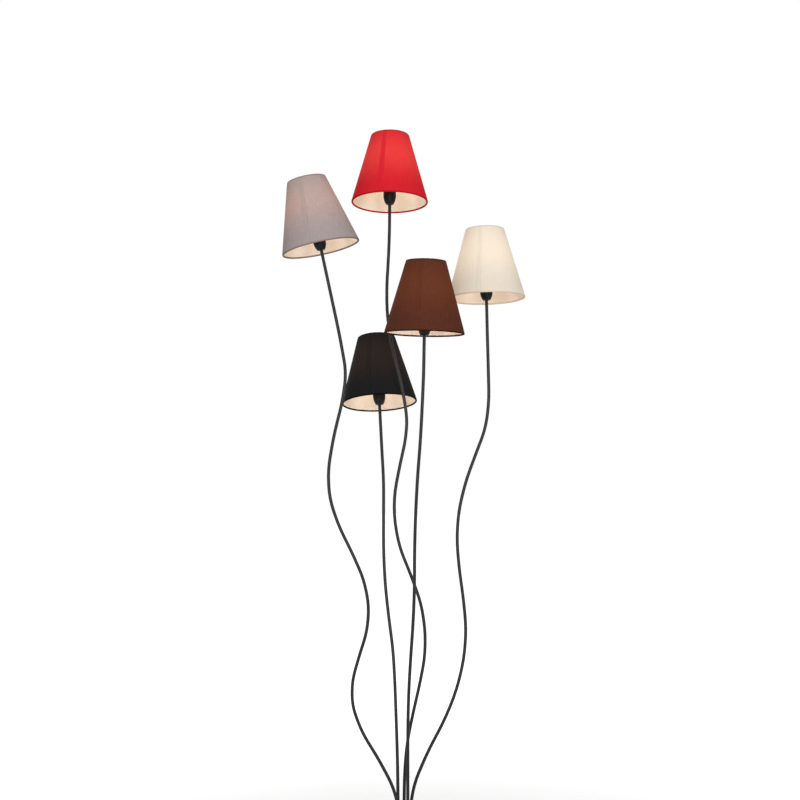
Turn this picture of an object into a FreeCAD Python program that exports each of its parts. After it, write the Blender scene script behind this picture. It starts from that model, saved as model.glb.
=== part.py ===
import FreeCAD, Part
import math
import os
import re
import sys

import Sketcher
from FreeCAD import Placement, Rotation, Vector

# A tree floor lamp: a round weighted base, a hub with five sockets, and five bent stems
# that each end in a lampholder with a tapered fabric shade. Millimetres, +Z up, +Y away
# from the front. The origin is the centre of the base's underside, on the floor.

SIZES = {
    # the base: felt pad, cast weight, pressed cover
    "felt_margin": 4,
    "felt_thickness": 2,
    "weight_edge_gap": 10.5,
    "weight_thickness": 13,
    "cover_dia": 280,
    "cover_floor_gap": 1.5,
    "cover_thickness": 1.5,
    "cover_side_height": 17,
    "cover_bevel": 8,
    "cover_bevel_rise": 7,
    "cover_crown_rise": 5,
    "cover_seat_dia": 62,
    "cover_edge_rounding": 8,
    "ring_wall_inner_dia": 40,
    "ring_wall_outer_dia": 54,
    "lead_slot_width": 7,
    "lead_slot_height": 8,
    # the hub and its bolt
    "hub_dia": 52,
    "hub_height": 48,
    "hub_spigot_length": 3,
    "hub_edge_chamfer": 1.2,
    "bolt_dia": 8,
    "bolt_grip_in_hub": 20,
    "bolt_end_gap": 1,
    "bolt_head_dia": 13,
    "bolt_head_height": 5,
    "washer_dia": 16,
    "washer_thickness": 1.5,
    "counterbore_dia": 18,
    "counterbore_depth": 8,
    # the sockets, and the foot that turns in each of them
    "socket_circle_dia": 26,
    "foot_dia": 11.5,
    "foot_depth": 30,
    "foot_collar_dia": 14.6,
    "foot_collar_height": 3,
    "foot_groove_dia": 9.2,
    "foot_groove_width": 6,
    "foot_groove_height": 6,
    "foot_mouth_dia": 9.8,
    "foot_waist_depth": 8,
    "foot_waist_land": 1,
    "foot_wire_hole_dia": 5.5,
    "grub_screw_dia": 5,
    "grub_screw_hex": 2.5,
    "running_clearance": 0.05,
    "waist_clearance": 0.1,
    "loose_clearance": 0.3,
    # the stems and the leads
    "stem_dia": 7,
    "stem_wall": 1,
    "stem_foot_gap": 0.7,
    "stem_grip": 13,
    "lead_dia": 4,
    "lead_height": 5,
    "lead_end_gap": 1,
    # the lampholder
    "holder_dia": 28,
    "holder_flat_dia": 16.8,
    "cap_height": 22,
    "cap_bowl_height": 20,
    "cap_bowl_radius": 38.5,
    "cap_floor_height": 12,
    "cap_cavity_dia": 21,
    "cap_spigot_height": 4,
    "lock_screw_dia": 3.2,
    "lock_screw_height": 7,
    "shell_wall": 1.3,
    "shell_shoulder_height": 38,
    "shell_shoulder_dia": 34,
    "shell_shoulder_thickness": 2,
    "shell_thread_dia": 27.6,
    "shell_height": 54,
    "shell_mouth_dia": 18,
    "shell_lip_thickness": 1.5,
    "core_floor_thickness": 4,
    # the bulb
    "bulb_dia": 45,
    "bulb_length": 79,
    "bulb_cap_dia": 14,
    "bulb_cap_length": 24,
    "bulb_contact_dia": 4.6,
    "bulb_contact_height": 2.8,
    "bulb_cap_floor": 4.6,
    "bulb_glass_grip": 8,
    "bulb_wall": 0.8,
    "bulb_neck_dia": 12.4,
    "bulb_throat_dia": 18.3,
    "bulb_throat_drop": 26.3,
    "bulb_cheek_angle": 42,
    "bulb_crown_dia": 2,
    "bulb_rest_gap": 0.3,
    # the shade and its fittings
    "shade_bottom_dia": 171,
    "shade_top_dia": 84.5,
    "shade_height": 155,
    "shade_wall": 0.8,
    "shade_lip": 4,
    "rim_above_holder": 3,
    "wire_dia": 2.5,
    "fitter_dia": 44,
    "fitter_thickness": 1.2,
    "ring_dia": 39.5,
    "ring_height": 7,
    "strut_count": 3,
    "strut_start_angle": 90,
    "strut_bite": 0.4,
    # the terminal block and the cord inlet
    "terminal_length": 46,
    "terminal_width": 16,
    "terminal_height": 9,
    "terminal_distance": 58,
    "terminal_pitch": 8,
    "terminal_hole_depth": 6,
    "inlet_height": 10,
    "inlet_bore_dia": 6.2,
    "inlet_neck_dia": 9,
    "inlet_flange_dia": 13,
    "inlet_flange_thickness": 2.5,
    "inlet_chamfer": 1,
}

# Each arm: the angle of its socket about the hub, the free points of its bent stem, the
# straight length of stem below its shade, and the centre and lean of its shade's lower rim
# (lean is the shift to the right and to the back per unit of height).
ARMS = {
    "grey": {
        "socket_angle": -126,
        "route": [
            (-8, -11, 118), (-22, -11, 176), (-54, -12, 236), (-90, -13, 293), (-111, -15, 350),
            (-111, -16, 402), (-96, -18, 455), (-79, -20, 508), (-75, -22, 562), (-86, -24, 618),
            (-111, -26, 675), (-140, -28, 732), (-160, -31, 792), (-163, -33, 852),
            (-151, -36, 925), (-132, -38, 1000), (-124, -40, 1060),
        ],
        "straight": 190,
        "rim_centre": (-179, -42.5, 1328.6),
        "lean": (-0.2164, 0.0038),
    },
    "red": {
        "socket_angle": 90,
        "route": [
            (0, 13, 130), (1, 13, 200), (6, 12, 264), (19, 11, 328), (34, 10, 392), (45, 8, 450),
            (46, 8, 505), (37, 7, 565), (14, 5, 628), (-10, 4, 686), (-21, 4, 746), (-21, 4, 800),
            (-10, 3, 858), (3, 3, 916), (7, 4, 960), (0, 4, 1012), (-14, 5, 1070),
            (-28, 7, 1130), (-37, 9, 1192), (-38, 13, 1255), (-34, 16, 1318),
        ],
        "straight": 60,
        "rim_centre": (-31.5, 25.1, 1441.9),
        "lean": (0.0049, 0.0905),
    },
    "cream": {
        "socket_angle": 18,
        "route": [
            (12, 4, 120), (21, 4, 180), (51, 3, 250), (87, 3, 316), (113, 2, 380), (129, 2, 446),
            (134, 2, 510), (128, 1, 576), (119, 1, 640), (114, 1, 702), (118, 1, 762),
            (133, 1, 826), (156, 1, 888), (177, 2, 942), (185, 3, 1000), (184, 4, 1065),
        ],
        "straight": 90,
        "rim_centre": (180.6, 8.7, 1226.9),
        "lean": (-0.0182, 0.0403),
    },
    "brown": {
        "socket_angle": -54,
        "route": [
            (8, -12, 150), (8, -16, 235), (8, -22, 310), (10, -29, 385), (14, -38, 455),
            (19, -47, 525), (22, -57, 600), (22, -67, 680), (24, -77, 755), (28, -87, 835),
            (34, -95, 910), (38, -102, 985), (41, -107, 1055),
        ],
        "straight": 30,
        "rim_centre": (42.5, -109.8, 1136.7),
        "lean": (0.0232, -0.0271),
    },
    "black": {
        "socket_angle": 162,
        "route": [
            (-13, 5, 150), (-14, 7, 230), (-17, 13, 320), (-20, 20, 400), (-24, 27, 465),
            (-33, 35, 530), (-41, 44, 600), (-45, 54, 675), (-45, 65, 755), (-45, 77, 830),
            (-49, 88, 895),
        ],
        "straight": 60,
        "rim_centre": (-54.8, 107.3, 1003.2),
        "lean": (-0.0522, 0.1828),
    },
}

# The free points of each internal lead on the weight, from its slot in the ring wall to its
# place in the terminal block, seen from above.
LEAD_TURNS = {
    "red": [(4, 43), (0, 52)],
    "cream": [(30, 26), (8, 41)],
    "brown": [(46, -16), (50, 18), (34, 42), (16, 51)],
    "black": [(-30, 26), (-8, 41)],
    "grey": [(-46, -16), (-50, 18), (-34, 42), (-16, 51)],
}
LEAD_PLACES = {"grey": -2, "black": -1, "red": 0, "cream": 1, "brown": 2}
SLOT_EXIT_RADIUS = 34
ROUND_SHARE = 0.45

doc = FreeCAD.newDocument("tree_floor_lamp")
sheet = doc.addObject("Spreadsheet::Sheet", "sizes")
for row, (alias, number) in enumerate(SIZES.items(), start=1):
    sheet.set(f"A{row}", alias)
    sheet.set(f"B{row}", str(number))
    sheet.setAlias(f"B{row}", alias)
doc.recompute()


def formula(text):
    """Point every size named in the text at its cell of the sheet."""
    return re.sub(r"\b[a-z]+(?:_[a-z]+)+\b", lambda word: "sizes." + word.group(0), text)


def size(text):
    """The value of a formula of sizes, worked out from the sheet."""
    return float(sheet.evalExpression(formula(text)))


NODES = []


def node(obj, label, place=None):
    """Name a finished piece and put it where it belongs."""
    obj.Label = label
    if place is not None:
        obj.Placement = place
    NODES.append(obj)
    return obj


def hide_name(stem_word):
    """A free internal name for a helper object."""
    return f"{stem_word}_{len(doc.Objects)}"


def origin_plane(body, role):
    return [item for item in body.Origin.OriginFeatures if item.Role == role][0]


def pin_point(sketch, geometry, end, radius, height):
    """Hold one corner of a profile at its radius and height, given as formulas."""
    if radius == "0":
        sketch.addConstraint(Sketcher.Constraint("PointOnObject", geometry, end, -2))
    else:
        row = sketch.addConstraint(
            Sketcher.Constraint("DistanceX", -1, 1, geometry, end, size(radius)))
        sketch.setExpression(f"Constraints[{row}]", formula(radius))
    if height == "0":
        sketch.addConstraint(Sketcher.Constraint("PointOnObject", geometry, end, -1))
    else:
        row = sketch.addConstraint(
            Sketcher.Constraint("DistanceY", -1, 1, geometry, end, size(height)))
        sketch.setExpression(f"Constraints[{row}]", formula(height))


def bulge_point(start, finish, radius):
    """The middle of an arc of this radius that bulges away from the axis."""
    chord = finish - start
    half = chord.Length / 2
    rise = radius - math.sqrt(radius ** 2 - half ** 2)
    outward = Vector(abs(chord.y), -chord.x * math.copysign(1, chord.y), 0).normalize()
    return (start + finish) * 0.5 + outward * rise


def turned(label, outline):
    """A piece turned about Z. The outline's corners are (radius, height) formulas, with a
    third item where the edge to the next corner is an arc of that radius."""
    body = doc.addObject("PartDesign::Body", hide_name(label))
    sketch = body.newObject("Sketcher::SketchObject", hide_name("profile"))
    sketch.AttachmentSupport = (origin_plane(body, "XZ_Plane"), "")
    sketch.MapMode = "FlatFace"
    corners = [Vector(size(item[0]), size(item[1]), 0) for item in outline]
    ends = []
    for index, item in enumerate(outline):
        start = corners[index]
        finish = corners[(index + 1) % len(corners)]
        if len(item) > 2:
            middle = bulge_point(start, finish, size(item[2]))
            leftward = (middle - start).cross(finish - middle).z > 0
            curve = Part.Arc(start, middle, finish) if leftward else Part.Arc(
                finish, middle, start)
            arc = sketch.addGeometry(curve, False)
            row = sketch.addConstraint(Sketcher.Constraint("Radius", arc, size(item[2])))
            sketch.setExpression(f"Constraints[{row}]", formula(item[2]))
            ends.append((arc, 1, 2) if leftward else (arc, 2, 1))
        else:
            ends.append((sketch.addGeometry(Part.LineSegment(start, finish), False), 1, 2))
    for index, (geometry, first, _) in enumerate(ends):
        before, _, last = ends[index - 1]
        sketch.addConstraint(Sketcher.Constraint("Coincident", before, last, geometry, first))
        pin_point(sketch, geometry, first, *outline[index][:2])
    spin = body.newObject("PartDesign::Revolution", hide_name("spin"))
    spin.Profile = sketch
    spin.ReferenceAxis = (sketch, ["V_Axis"])
    spin.Angle = 360
    body.Tip = spin
    return body


def rod(radius, length, place=None):
    """A plain round bar along Z, its sizes given as formulas."""
    bar = doc.addObject("Part::Cylinder", hide_name("bar"))
    bar.setExpression("Radius", formula(radius))
    bar.setExpression("Height", formula(length))
    if place is not None:
        bar.Placement = place
    return bar


def block(length, width, height, place):
    """A plain box centred on X, its sizes given as formulas."""
    box = doc.addObject("Part::Box", hide_name("box"))
    box.setExpression("Length", formula(length))
    box.setExpression("Width", formula(width))
    box.setExpression("Height", formula(height))
    box.Placement = place.multiply(Placement(Vector(-size(length) / 2, 0, 0), Rotation()))
    return box


def cut(base, tools):
    """The base with every tool taken away."""
    group = tools[0]
    if len(tools) > 1:
        group = doc.addObject("Part::MultiFuse", hide_name("tools"))
        group.Shapes = tools
    result = doc.addObject("Part::Cut", hide_name("cut"))
    result.Base = base
    result.Tool = group
    return result


def fused(pieces):
    result = doc.addObject("Part::MultiFuse", hide_name("fused"))
    result.Shapes = pieces
    return result


def together(pieces):
    """Several separate solids kept in one node."""
    result = doc.addObject("Part::Compound", hide_name("group"))
    result.Links = pieces
    return result


def at(x, y, z, axis=(0, 0, 1), angle=0):
    return Placement(Vector(x, y, z), Rotation(Vector(*axis), angle))


def around(angle):
    """Turned about the lamp's own axis, with X pointing along this angle."""
    return at(0, 0, 0, (0, 0, 1), angle)


def soft_path(points):
    """Straight runs joined by tangent arcs, each as large as its two runs allow."""
    edges = []
    radii = []
    last = points[0]
    for before, corner, after in zip(points, points[1:], points[2:]):
        along_in = (corner - before).normalize()
        along_out = (after - corner).normalize()
        reach = ROUND_SHARE * min((corner - before).Length, (after - corner).Length)
        turn = along_in.getAngle(along_out)
        radius = reach / math.tan(turn / 2)
        radii.append(radius)
        enter = corner - along_in * reach
        leave = corner + along_out * reach
        inward = (along_out - along_in).normalize()
        middle = corner + inward * (radius / math.cos(turn / 2) - radius)
        edges.append(Part.LineSegment(last, enter).toShape())
        edges.append(Part.Arc(enter, middle, leave).toShape())
        last = leave
    edges.append(Part.LineSegment(last, points[-1]).toShape())
    return Part.Wire(edges), radii


def round_bar(path, start, direction, radius):
    """A solid round bar along a path."""
    rim = Part.Wire([Part.makeCircle(radius, start, direction)])
    return path.makePipeShell([rim], True, False)


def tube_along(points, outer_radius, bore_radius=0.0):
    """A round tube or cord along a soft path, its volume compared with section x length."""
    path, radii = soft_path(points)
    start = (points[1] - points[0]).normalize()
    tube = round_bar(path, points[0], start, outer_radius)
    area = math.pi * outer_radius ** 2
    if bore_radius:
        tube = tube.cut(round_bar(path, points[0], start, bore_radius)).Solids[0]
        area -= math.pi * bore_radius ** 2
    return tube, path.Length, min(radii), tube.Volume / (area * path.Length)


def shaped(label, shape, place=None):
    """A piece whose form is a bent tube, which no sketch can carry."""
    feature = doc.addObject("Part::Feature", hide_name(label))
    feature.Shape = shape
    if place is not None:
        feature.Placement = place
    return feature


# Heights of the stack and radii of the base, all from the sizes above.
WEIGHT_TOP = "(felt_thickness + weight_thickness)"
WEIGHT_RADIUS = "(cover_dia / 2 - cover_thickness - weight_edge_gap)"
FELT_RADIUS = f"({WEIGHT_RADIUS} - felt_margin)"
COVER_SHOULDER = "(cover_side_height + cover_bevel_rise)"
COVER_TOP = f"({COVER_SHOULDER} + cover_crown_rise)"
HUB_TOP = f"({COVER_TOP} + hub_height)"
FOOT_BOTTOM = f"({HUB_TOP} - foot_depth)"
MOUTH = f"({HUB_TOP} + foot_collar_height)"
ROCK_HEIGHT = f"({MOUTH} - foot_waist_depth)"
STEM_BOTTOM = f"({MOUTH} - 2 * foot_waist_depth + stem_foot_gap)"
LEAD_LEVEL = f"({WEIGHT_TOP} + lead_height)"


def socket_axis(arm):
    """Where the arm's socket stands in the hub, seen from above."""
    angle = math.radians(ARMS[arm]["socket_angle"])
    reach = size("socket_circle_dia / 2")
    return reach * math.cos(angle), reach * math.sin(angle)


# Felt pad: a flat disc glued under the weight, the face that stands on the floor.
node(turned("felt_pad", [
    ("0", "0"),
    (FELT_RADIUS, "0"),
    (FELT_RADIUS, "felt_thickness"),
    ("0", "felt_thickness"),
]), "felt_pad")

# Weight: a cast disc with a ring wall that carries the cover and the hub, slots in that wall
# for the leads, and a counterbore below for the bolt's head.
casting = turned("casting", [
    ("bolt_dia / 2 + loose_clearance", "felt_thickness + counterbore_depth"),
    ("counterbore_dia / 2", "felt_thickness + counterbore_depth"),
    ("counterbore_dia / 2", "felt_thickness"),
    (WEIGHT_RADIUS, "felt_thickness"),
    (WEIGHT_RADIUS, WEIGHT_TOP),
    ("ring_wall_outer_dia / 2", WEIGHT_TOP),
    ("ring_wall_outer_dia / 2", f"{COVER_TOP} - cover_thickness"),
    ("ring_wall_inner_dia / 2", f"{COVER_TOP} - cover_thickness"),
    ("ring_wall_inner_dia / 2", WEIGHT_TOP),
    ("bolt_dia / 2 + loose_clearance", WEIGHT_TOP),
])
slots = []
for arm in ARMS.values():
    slot = block("lead_slot_width", "ring_wall_outer_dia / 2", "lead_slot_height",
                 around(arm["socket_angle"] - 90).multiply(at(0, size("socket_circle_dia / 2"),
                                                              size(WEIGHT_TOP))))
    slots.append(slot)
node(cut(casting, slots), "base_weight")

# Cover: a pressed steel shell clamped between the ring wall and the hub's shoulder, with a
# flat seat in the middle, a shallow crown, a bevelled edge and the cord's hole at the back.
pressing = turned("pressing", [
    ("ring_wall_inner_dia / 2", f"{COVER_TOP} - cover_thickness"),
    ("cover_seat_dia / 2", f"{COVER_TOP} - cover_thickness"),
    ("cover_dia / 2 - cover_bevel - cover_thickness / 2", f"{COVER_SHOULDER} - cover_thickness",
     "cover_edge_rounding - cover_thickness"),
    ("cover_dia / 2 - cover_thickness", "cover_side_height - cover_thickness / 2"),
    ("cover_dia / 2 - cover_thickness", "cover_floor_gap"),
    ("cover_dia / 2", "cover_floor_gap"),
    ("cover_dia / 2", "cover_side_height", "cover_edge_rounding"),
    ("cover_dia / 2 - cover_bevel", COVER_SHOULDER),
    ("cover_seat_dia / 2", COVER_TOP),
    ("ring_wall_inner_dia / 2", COVER_TOP),
])
inlet_hole = rod("inlet_neck_dia / 2 + running_clearance", "2 * cover_bevel",
                 at(0, size("cover_dia / 2 - cover_bevel"), size("inlet_height"),
                    (1, 0, 0), -90))
node(cut(pressing, [inlet_hole]), "base_cover")

# Hub: a turned steel block with a chamfered edge, a spigot that centres it in the cover, a
# tapped hole for the bolt, five sockets with wire holes under them, and five tapped holes
# for the grub screws.
billet = turned("billet", [
    ("bolt_dia / 2", f"{COVER_TOP} - hub_spigot_length"),
    ("ring_wall_inner_dia / 2 - loose_clearance", f"{COVER_TOP} - hub_spigot_length"),
    ("ring_wall_inner_dia / 2 - loose_clearance", COVER_TOP),
    ("hub_dia / 2", COVER_TOP),
    ("hub_dia / 2", f"{HUB_TOP} - hub_edge_chamfer"),
    ("hub_dia / 2 - hub_edge_chamfer", HUB_TOP),
    ("0", HUB_TOP),
    ("0", f"{COVER_TOP} - hub_spigot_length + bolt_grip_in_hub"),
    ("bolt_dia / 2", f"{COVER_TOP} - hub_spigot_length + bolt_grip_in_hub"),
])
GRUB_HEIGHT = f"({FOOT_BOTTOM} + foot_groove_height + foot_groove_width / 2)"
holes = []
for name, arm in ARMS.items():
    x, y = socket_axis(name)
    holes.append(rod("foot_dia / 2 + running_clearance", "2 * foot_depth",
                     at(x, y, size(f"{FOOT_BOTTOM} - loose_clearance"))))
    holes.append(rod("foot_wire_hole_dia / 2 + loose_clearance", "hub_height",
                     at(x, y, size(f"{COVER_TOP} - 2 * hub_spigot_length"))))
    side = around(arm["socket_angle"]).multiply(at(size("socket_circle_dia / 2"), 0,
                                                   size(GRUB_HEIGHT), (0, 1, 0), 90))
    holes.append(rod("grub_screw_dia / 2", "hub_dia / 2", side))
node(cut(billet, holes), "hub")

# Bolt: it pulls the hub down onto the cover and the weight, with a plain washer under its
# hexagon head.
HEAD_TOP = "(felt_thickness + counterbore_depth - washer_thickness)"
washer = turned("washer", [
    ("bolt_dia / 2 + running_clearance", HEAD_TOP),
    ("washer_dia / 2", HEAD_TOP),
    ("washer_dia / 2", "felt_thickness + counterbore_depth"),
    ("bolt_dia / 2 + running_clearance", "felt_thickness + counterbore_depth"),
])
shank = rod("bolt_dia / 2",
            f"{COVER_TOP} - hub_spigot_length + bolt_grip_in_hub - {HEAD_TOP} - bolt_end_gap",
            at(0, 0, size(HEAD_TOP)))
head = doc.addObject("Part::Prism", hide_name("head"))
head.Polygon = 6
head.setExpression("Circumradius", formula("bolt_head_dia / 2 / cos(30 deg)"))
head.setExpression("Height", formula("bolt_head_height"))
head.Placement = at(0, 0, size(f"{HEAD_TOP} - bolt_head_height"))
node(together([fused([shank, head]), washer]), "hub_bolt")

# Grub screws: one for each socket, its point standing in the groove of the foot, so that the
# foot can turn but can't be pulled out.
screws = []
for arm in ARMS.values():
    tip = size("socket_circle_dia / 2 + foot_groove_dia / 2 + loose_clearance")
    reach = size("hub_dia / 2 - loose_clearance") - tip
    side = around(arm["socket_angle"]).multiply(at(tip, 0, size(GRUB_HEIGHT), (0, 1, 0), 90))
    screw = rod("grub_screw_dia / 2 - running_clearance",
                "hub_dia / 2 - socket_circle_dia / 2 - foot_groove_dia / 2"
                " - 2 * loose_clearance", side)
    key = doc.addObject("Part::Prism", hide_name("key"))
    key.Polygon = 6
    key.setExpression("Circumradius", formula("grub_screw_hex / 2 / cos(30 deg)"))
    key.setExpression("Height", formula("grub_screw_hex"))
    key.Placement = side.multiply(at(0, 0, reach + size("loose_clearance - grub_screw_hex")))
    screws.append(cut(screw, [key]))
node(together(screws), "grub_screws")

# Terminal block: a moulded block on the weight, with a row of holes at the front where the
# five leads go in and two at the back for the cord's wires.
terminals = block("terminal_length", "terminal_width", "terminal_height",
                  at(0, size("terminal_distance"), size(WEIGHT_TOP)))
entries = []
for place in LEAD_PLACES.values():
    entries.append(rod("lead_dia / 2", "terminal_hole_depth",
                       at(place * size("terminal_pitch"), size("terminal_distance"),
                          size(LEAD_LEVEL), (1, 0, 0), -90)))
for side in (-1, 1):
    entries.append(rod("lead_dia / 2", "terminal_hole_depth",
                       at(side * size("terminal_pitch"),
                          size("terminal_distance + terminal_width - terminal_hole_depth"),
                          size(LEAD_LEVEL), (1, 0, 0), -90)))
node(cut(terminals, entries), "terminal_block")

# Cord inlet: a turned grommet snapped into the cover's hole, its bore ready for the cord.
GROMMET_NECK = "(cover_thickness + 2 * running_clearance + loose_clearance)"
grommet = turned("grommet", [
    ("inlet_bore_dia / 2", "0"),
    ("inlet_flange_dia / 2 - inlet_chamfer", "0"),
    ("inlet_flange_dia / 2", "inlet_flange_thickness"),
    ("inlet_neck_dia / 2", "inlet_flange_thickness"),
    ("inlet_neck_dia / 2", f"inlet_flange_thickness + {GROMMET_NECK}"),
    ("inlet_flange_dia / 2", f"inlet_flange_thickness + {GROMMET_NECK}"),
    ("inlet_flange_dia / 2 - inlet_chamfer", f"2 * inlet_flange_thickness + {GROMMET_NECK}"),
    ("inlet_bore_dia / 2", f"2 * inlet_flange_thickness + {GROMMET_NECK}"),
])
node(grommet, "cord_gland",
     at(0, size(f"cover_dia / 2 - {GROMMET_NECK} + running_clearance - inlet_flange_thickness"),
        size("inlet_height"), (1, 0, 0), -90))

# Internal leads: from under each foot, down through the hub, out of a slot in the ring wall
# and across the weight into the terminal block.
lead_solids = []
for name, arm in ARMS.items():
    x, y = socket_axis(name)
    level = size(LEAD_LEVEL)
    exit_point = around(arm["socket_angle"]).multVec(Vector(SLOT_EXIT_RADIUS, 0, level))
    entry_x = LEAD_PLACES[name] * size("terminal_pitch")
    entry_y = size("terminal_distance + terminal_hole_depth")
    points = [Vector(x, y, size(f"{STEM_BOTTOM} - lead_end_gap")), Vector(x, y, level)]
    points.append(exit_point)
    points += [Vector(turn_x, turn_y, level) for turn_x, turn_y in LEAD_TURNS[name]]
    points.append(Vector(entry_x, entry_y, level))
    tube, length, tightest, share = tube_along(points, size("lead_dia / 2"))
    print(f"base lead {name}: length {length:.0f}, tightest bend {tightest:.1f}, "
          f"volume share {share:.4f}")
    lead_solids.append(shaped("base_lead", tube))
node(together(lead_solids), "base_leads")


def foot(name):
    """The turned sleeve in its socket: a collar on the hub's top face, a groove for the grub
    screw, a waisted bore in which the stem rocks, and a wire hole."""
    x, y = socket_axis(name)
    bore_floor = "(foot_depth + foot_collar_height - 2 * foot_waist_depth)"
    waist = "(foot_depth + foot_collar_height - foot_waist_depth)"
    sleeve = turned("foot", [
        ("foot_wire_hole_dia / 2", "0"),
        ("foot_dia / 2", "0"),
        ("foot_dia / 2", "foot_groove_height"),
        ("foot_groove_dia / 2", "foot_groove_height"),
        ("foot_groove_dia / 2", "foot_groove_height + foot_groove_width"),
        ("foot_dia / 2", "foot_groove_height + foot_groove_width"),
        ("foot_dia / 2", "foot_depth"),
        ("foot_collar_dia / 2", "foot_depth"),
        ("foot_collar_dia / 2", "foot_depth + foot_collar_height"),
        ("foot_mouth_dia / 2", "foot_depth + foot_collar_height"),
        ("stem_dia / 2 + waist_clearance", f"{waist} + foot_waist_land / 2"),
        ("stem_dia / 2 + waist_clearance", f"{waist} - foot_waist_land / 2"),
        ("foot_mouth_dia / 2", bore_floor),
        ("foot_wire_hole_dia / 2", bore_floor),
    ])
    node(sleeve, f"foot_{name}", at(x, y, size(FOOT_BOTTOM)))


def head_place(arm):
    """The frame of an arm's head: its origin is the middle of the lampholder's flat end and
    its Z axis is the shade's axis."""
    upward = Vector(arm["lean"][0], arm["lean"][1], 1).normalize()
    origin = Vector(*arm["rim_centre"]) - upward * size("rim_above_holder")
    return Placement(origin, Rotation(Vector(0, 0, 1), upward)), upward


def stem_points(name):
    """The stem's centre line from its foot to its end inside the lampholder. Its first run
    goes through the middle of the waist that it rocks in."""
    arm = ARMS[name]
    x, y = socket_axis(name)
    place, upward = head_place(arm)
    waist = Vector(x, y, size(ROCK_HEIGHT))
    first_run = Vector(*arm["route"][0]) - waist
    points = [waist - first_run * (size(f"{ROCK_HEIGHT} - {STEM_BOTTOM}") / first_run.z)]
    points += [Vector(*point) for point in arm["route"]]
    points.append(place.Base - upward * arm["straight"])
    points.append(place.Base + upward * size("stem_grip"))
    return points


def stem_and_lead(name):
    """The bent steel tube, and the two-core lead that runs inside it from end to end."""
    points = stem_points(name)
    upward = (points[-1] - points[-2]).normalize()
    outer = size("stem_dia / 2")
    tube, length, tightest, share = tube_along(points, outer, outer - size("stem_wall"))
    print(f"stem {name}: length {length:.0f}, tightest bend {tightest:.0f}, "
          f"volume share {share:.4f}")
    node(shaped("stem", tube), f"stem_{name}")
    top = points[-1] + upward * size("cap_height + cap_spigot_height - stem_grip")
    cord, length, tightest, share = tube_along(points[:-1] + [top], size("lead_dia / 2"))
    print(f"lead {name}: length {length:.0f}, volume share {share:.4f}")
    node(shaped("lead", cord), f"lead_{name}")


def lampholder(name, place):
    """Cap, skirt and insert of a small black lampholder."""
    cap = turned("cap", [
        ("stem_dia / 2 + running_clearance", "0"),
        ("holder_flat_dia / 2", "0", "cap_bowl_radius"),
        ("holder_dia / 2", "cap_bowl_height"),
        ("holder_dia / 2", "cap_height"),
        ("holder_dia / 2 - shell_wall - running_clearance", "cap_height"),
        ("holder_dia / 2 - shell_wall - running_clearance", "cap_height + cap_spigot_height"),
        ("cap_cavity_dia / 2", "cap_height + cap_spigot_height"),
        ("cap_cavity_dia / 2", "cap_floor_height"),
        ("stem_dia / 2 + running_clearance", "cap_floor_height"),
    ])
    front = at(0, 0, size("lock_screw_height"), (1, 0, 0), 90)
    screw_hole = rod("lock_screw_dia / 2", "holder_dia", front)
    screw = rod("lock_screw_dia / 2 - running_clearance",
                "holder_flat_dia / 2",
                at(0, -size("stem_dia / 2 + running_clearance"), size("lock_screw_height"),
                   (1, 0, 0), 90))
    node(together([cut(cap, [screw_hole]), screw]), f"holder_cap_{name}", place)
    inside = "(holder_dia / 2 - shell_wall)"
    skirt = turned("skirt", [
        (inside, "cap_height"),
        ("holder_dia / 2", "cap_height"),
        ("holder_dia / 2", "shell_shoulder_height - shell_shoulder_thickness"),
        ("shell_shoulder_dia / 2", "shell_shoulder_height - shell_shoulder_thickness"),
        ("shell_shoulder_dia / 2", "shell_shoulder_height"),
        ("shell_thread_dia / 2", "shell_shoulder_height"),
        ("shell_thread_dia / 2", "shell_height"),
        ("shell_mouth_dia / 2", "shell_height"),
        ("shell_mouth_dia / 2", "shell_height - shell_lip_thickness"),
        (inside, "shell_height - shell_lip_thickness"),
    ])
    node(skirt, f"holder_shell_{name}", place)
    floor = "(cap_height + cap_spigot_height)"
    core = turned("core", [
        ("0", floor),
        (f"{inside} - running_clearance", floor),
        (f"{inside} - running_clearance",
         "shell_height - shell_lip_thickness - running_clearance"),
        ("bulb_cap_dia / 2 + loose_clearance",
         "shell_height - shell_lip_thickness - running_clearance"),
        ("bulb_cap_dia / 2 + loose_clearance", f"{floor} + core_floor_thickness"),
        ("0", f"{floor} + core_floor_thickness"),
    ])
    node(core, f"holder_core_{name}", place)


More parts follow.
